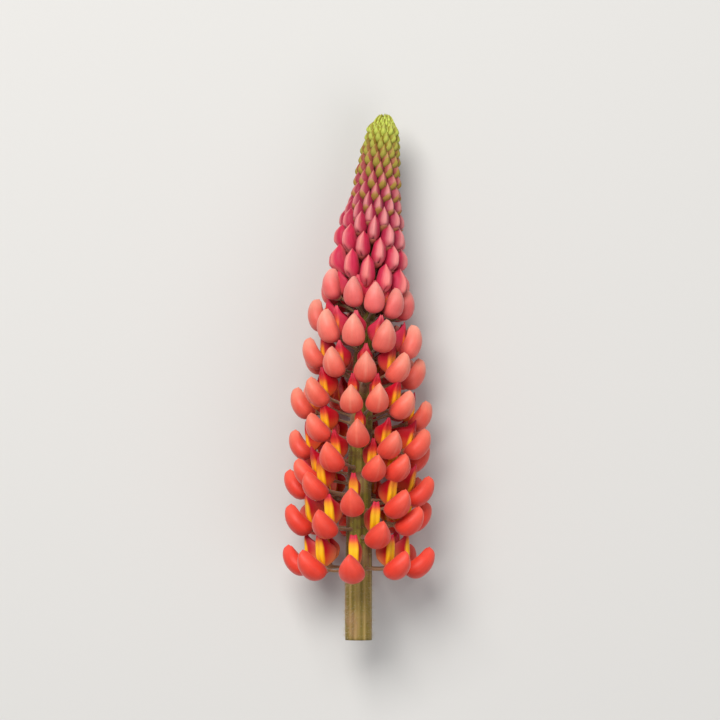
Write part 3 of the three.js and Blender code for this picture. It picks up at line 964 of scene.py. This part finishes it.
def cup_material():
    """The calyx of a bud: olive, finely hairy, with a blush on the tip of its lip."""
    paint = Painter("lupin_bud_cup", 0.75, Specular_IOR_Level=0.15)
    age, along = paint.mark("age"), paint.mark("along")
    base = paint.ramp(age, [(0, "84502c"), (0.22, "7e6c1c"), (0.4, "80781c"), (0.7, "8c8a2c"),
                            (1, "b2c43c")])
    margin = paint.ramp(age, [(0, "c45c60"), (0.18, "b06c50"), (0.3, "a0703a"), (0.5, "9c8436"),
                              (0.7, "9c9640"), (1, "c4d45c")])
    reached = paint.maths("DIVIDE", along, paint.ramp(age, CUP_LENGTH))
    base = paint.mix(paint.rise(reached, 0.15, 0.4), base, margin)
    blush = paint.times(paint.rise(reached, 0.74, 1.0), paint.rise(age, 0.62, 0.4))
    base = paint.mix(paint.times(blush, 0.6), base, colour("cc8478"))
    hairs = paint.noise(paint.place(), 2200, detail=4)
    base = paint.mix(paint.times(paint.rise(hairs, 0.5, 0.75), 0.12), base, colour("c8c078"))
    return paint.finish(base, height=hairs, bump=0.5)


def stem_material():
    """Olive, paler on the ribs, tan below the flowers and patched with brown among them."""
    paint = Painter("lupin_stem_skin", 0.65, Sheen_Weight=0.12, Sheen_Roughness=0.4, Specular_IOR_Level=0.3)
    ribs, along = paint.mark("across"), paint.mark("along")
    bare = paint.ramp(ribs, [(0, "786a2c"), (0.5, "8e7a38"), (1, "ac945a")])
    among = paint.ramp(ribs, [(0, "6a5c1c"), (0.5, "857a28"), (1, "988c38")])
    base = paint.mix(paint.rise(along, 0.1, 0.16), bare, among)
    place = paint.place()
    patches = paint.times(paint.rise(paint.noise(place, 150), 0.44, 0.62), paint.rise(along, 0.05, 0.22))
    base = paint.mix(paint.times(patches, 0.8), base, colour("63281a"))
    drawn = paint.vector(paint.times(ribs, 9), paint.times(along, 46), 0)
    base = paint.shaded(base, paint.noise(drawn, 1), "b8a088", 0.45)
    blush = paint.times(paint.rise(paint.noise(place, 70, detail=2), 0.45, 0.65), 0.45)
    base = paint.mix(blush, base, colour("b08068"))
    return paint.finish(base, height=paint.noise(place, 1500), bump=0.4)


def hair_material():
    """Straw to cream, in patches."""
    paint = Painter("lupin_stem_hair", 0.6, Sheen_Weight=0.3)
    shade = paint.noise(paint.place(), 900)
    return paint.finish(paint.ramp(shade, [(0.3, "a08858"), (0.7, "dccfa8")]))


def cut_material():
    """The cut end: a green rind, a darker ring under it and pale pith with pores."""
    paint = Painter("lupin_stem_cut", 0.6)
    along = paint.mark("along")
    base = paint.ramp(along, [(0, "7f8a3c"), (0.08, "a4b25c"), (0.2, "c9d08a"), (0.3, "b4bc74"),
                              (0.42, "dfe0b4"), (1, "e8e6c8")])
    pores = paint.noise(paint.place(), 2400)
    base = paint.shaded(base, pores, "b8b890", 0.5, low=0.35, high=0.65)
    return paint.finish(base, height=pores, bump=0.6)


# The stage

CAMERA_DISTANCE = 1.6
SENSOR = 36
VIEW_WIDTH = 324 * MM
VIEW_RIGHT = 0.7 * MM
VIEW_UP = 126 * MM
VIEW_END = 20
FLOOR_REACH = 2.5
LAMPS = [  # name, place, size, power and tint
    ("key", (-0.5, 0.95, 1.7), 1.1, 41, (1, 0.98, 0.95)),
    ("fill", (0.8, -0.8, 1.5), 1.5, 9, (1, 0.98, 0.96)),
]
SKY_TINT = (0.9, 0.93, 1, 1)
SKY_STRENGTH = 0.3


def camera():
    """Looks straight down on the spike, so far off that it shows as in the photograph."""
    base = CUT_END * MM
    data = bpy.data.cameras.new("camera")
    data.sensor_width = SENSOR
    data.lens = SENSOR * CAMERA_DISTANCE / VIEW_WIDTH
    data.clip_end = VIEW_END
    viewer = bpy.data.objects.new("camera", data)
    viewer.location = (base.x + VIEW_RIGHT, base.y + VIEW_UP, base.z + CAMERA_DISTANCE)
    bpy.context.scene.collection.objects.link(viewer)
    bpy.context.scene.camera = viewer


def lamp(name, place, size, power, tint):
    """A square lamp that points at the middle of the floor."""
    data = bpy.data.lights.new(name, "AREA")
    data.size, data.energy, data.color = size, power, tint
    light = bpy.data.objects.new(name, data)
    light.location = place
    light.rotation_euler = (-Vector(place)).to_track_quat("-Z", "Y").to_euler()
    bpy.context.scene.collection.objects.link(light)


def stage():
    """The pale floor, the lamps and the soft light from all round."""
    mesh = bpy.data.meshes.new("floor")
    corners = [(x * FLOOR_REACH, y * FLOOR_REACH, 0) for x, y in ((-1, -1), (1, -1), (1, 1), (-1, 1))]
    mesh.from_pydata(corners, [], [(0, 1, 2, 3)])
    floor = bpy.data.objects.new("floor", mesh)
    bpy.context.scene.collection.objects.link(floor)
    mesh.materials.append(Painter("floor", 0.9).finish(colour("d2d1ce")))
    for row in LAMPS:
        lamp(*row)
    world = bpy.data.worlds.new("studio")
    world.use_nodes = True
    sky = world.node_tree.nodes["Background"]
    sky.inputs["Color"].default_value = SKY_TINT
    sky.inputs["Strength"].default_value = SKY_STRENGTH
    bpy.context.scene.world = world
    bpy.context.scene.view_settings.view_transform = "Standard"


camera()
stage()
pieces = flowers([pouch_material(), banner_material(), green_material()])
pieces += buds([bud_material(), cup_material()])
pieces.append(stem([stem_material(), cut_material()]))
pieces.append(stem_hairs([hair_material()]))
for piece in pieces:
    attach(piece, "root")
